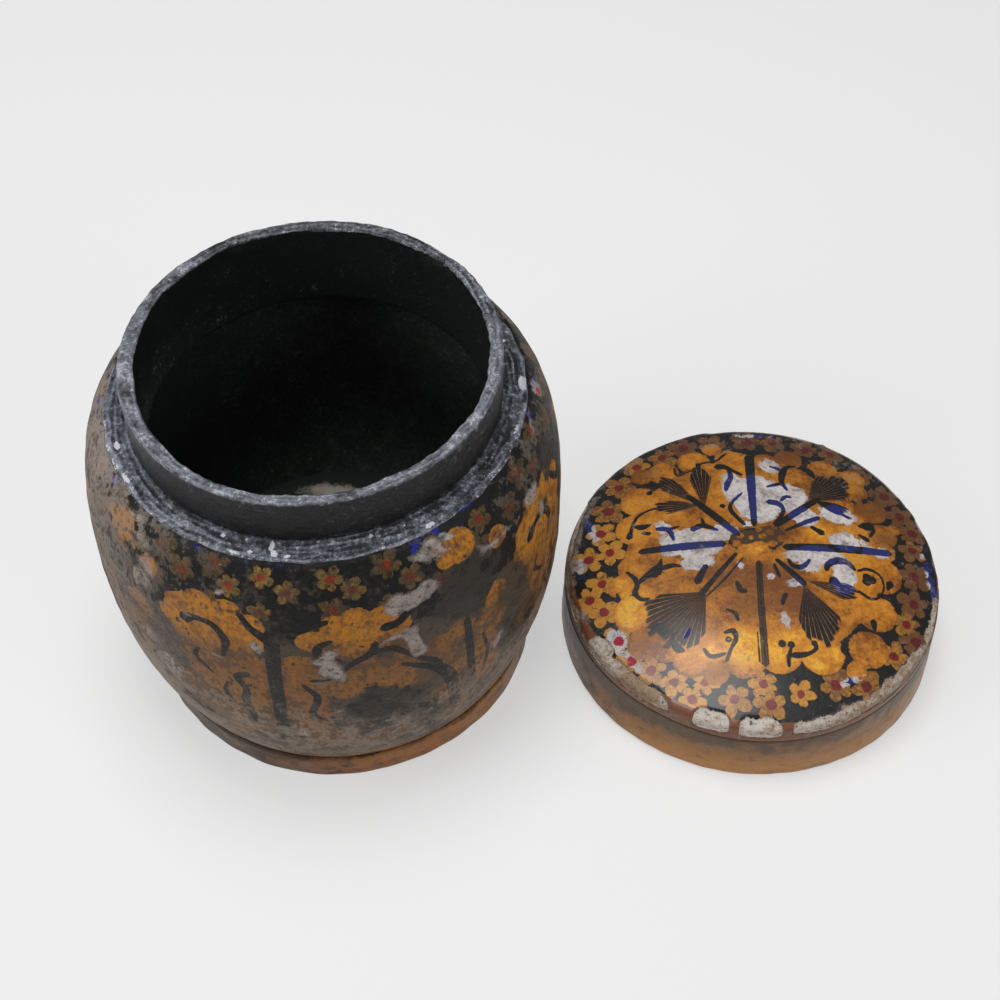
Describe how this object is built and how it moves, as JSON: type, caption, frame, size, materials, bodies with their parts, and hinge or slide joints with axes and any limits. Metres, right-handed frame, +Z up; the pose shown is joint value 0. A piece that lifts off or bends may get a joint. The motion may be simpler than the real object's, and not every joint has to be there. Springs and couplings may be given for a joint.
{
  "type": "papier mache storage jar with lid",
  "caption": "Barrel-shaped papier mache storage jar on a low foot, with a narrow neck collar and a loose slip-over domed lid set down beside it.",
  "frame": {"origin": "on the jar's axis, on the surface that its foot ring stands on", "axes": "+Z up along the jar's axis, +X from the jar towards the lid set down beside it, -Y towards the viewer"},
  "size_m": [0.297, 0.1594, 0.144],
  "materials": {
    "foot_paint": "ochre paint under worn varnish",
    "floor_paper": "matt black wash over bare paper",
    "barrel_paint": "black, ochre and red painting under worn varnish, gesso showing where it has flaked",
    "collar_lacquer": "black lacquer, satin, rough grey on the rim",
    "skirt_paint": "ochre-brown paint under satin varnish",
    "crown_paint": "gold-ochre, black, red and blue painting under glossy varnish, gesso showing where it has flaked"
  },
  "bodies": {
    "jar": {"foot_ring": "foot_paint", "jar_floor": "floor_paper", "lower_shell": "barrel_paint", "upper_shell": "barrel_paint", "neck_collar": "collar_lacquer"},
    "lid": {"lid_skirt": "skirt_paint", "lid_crown": "crown_paint"}
  },
  "joints": [
    {"name": "lid_lift", "type": "slide", "parent": "jar", "child": "lid", "axis": [0, 0, 1], "range_m": [0, 0.15]}
  ]
}
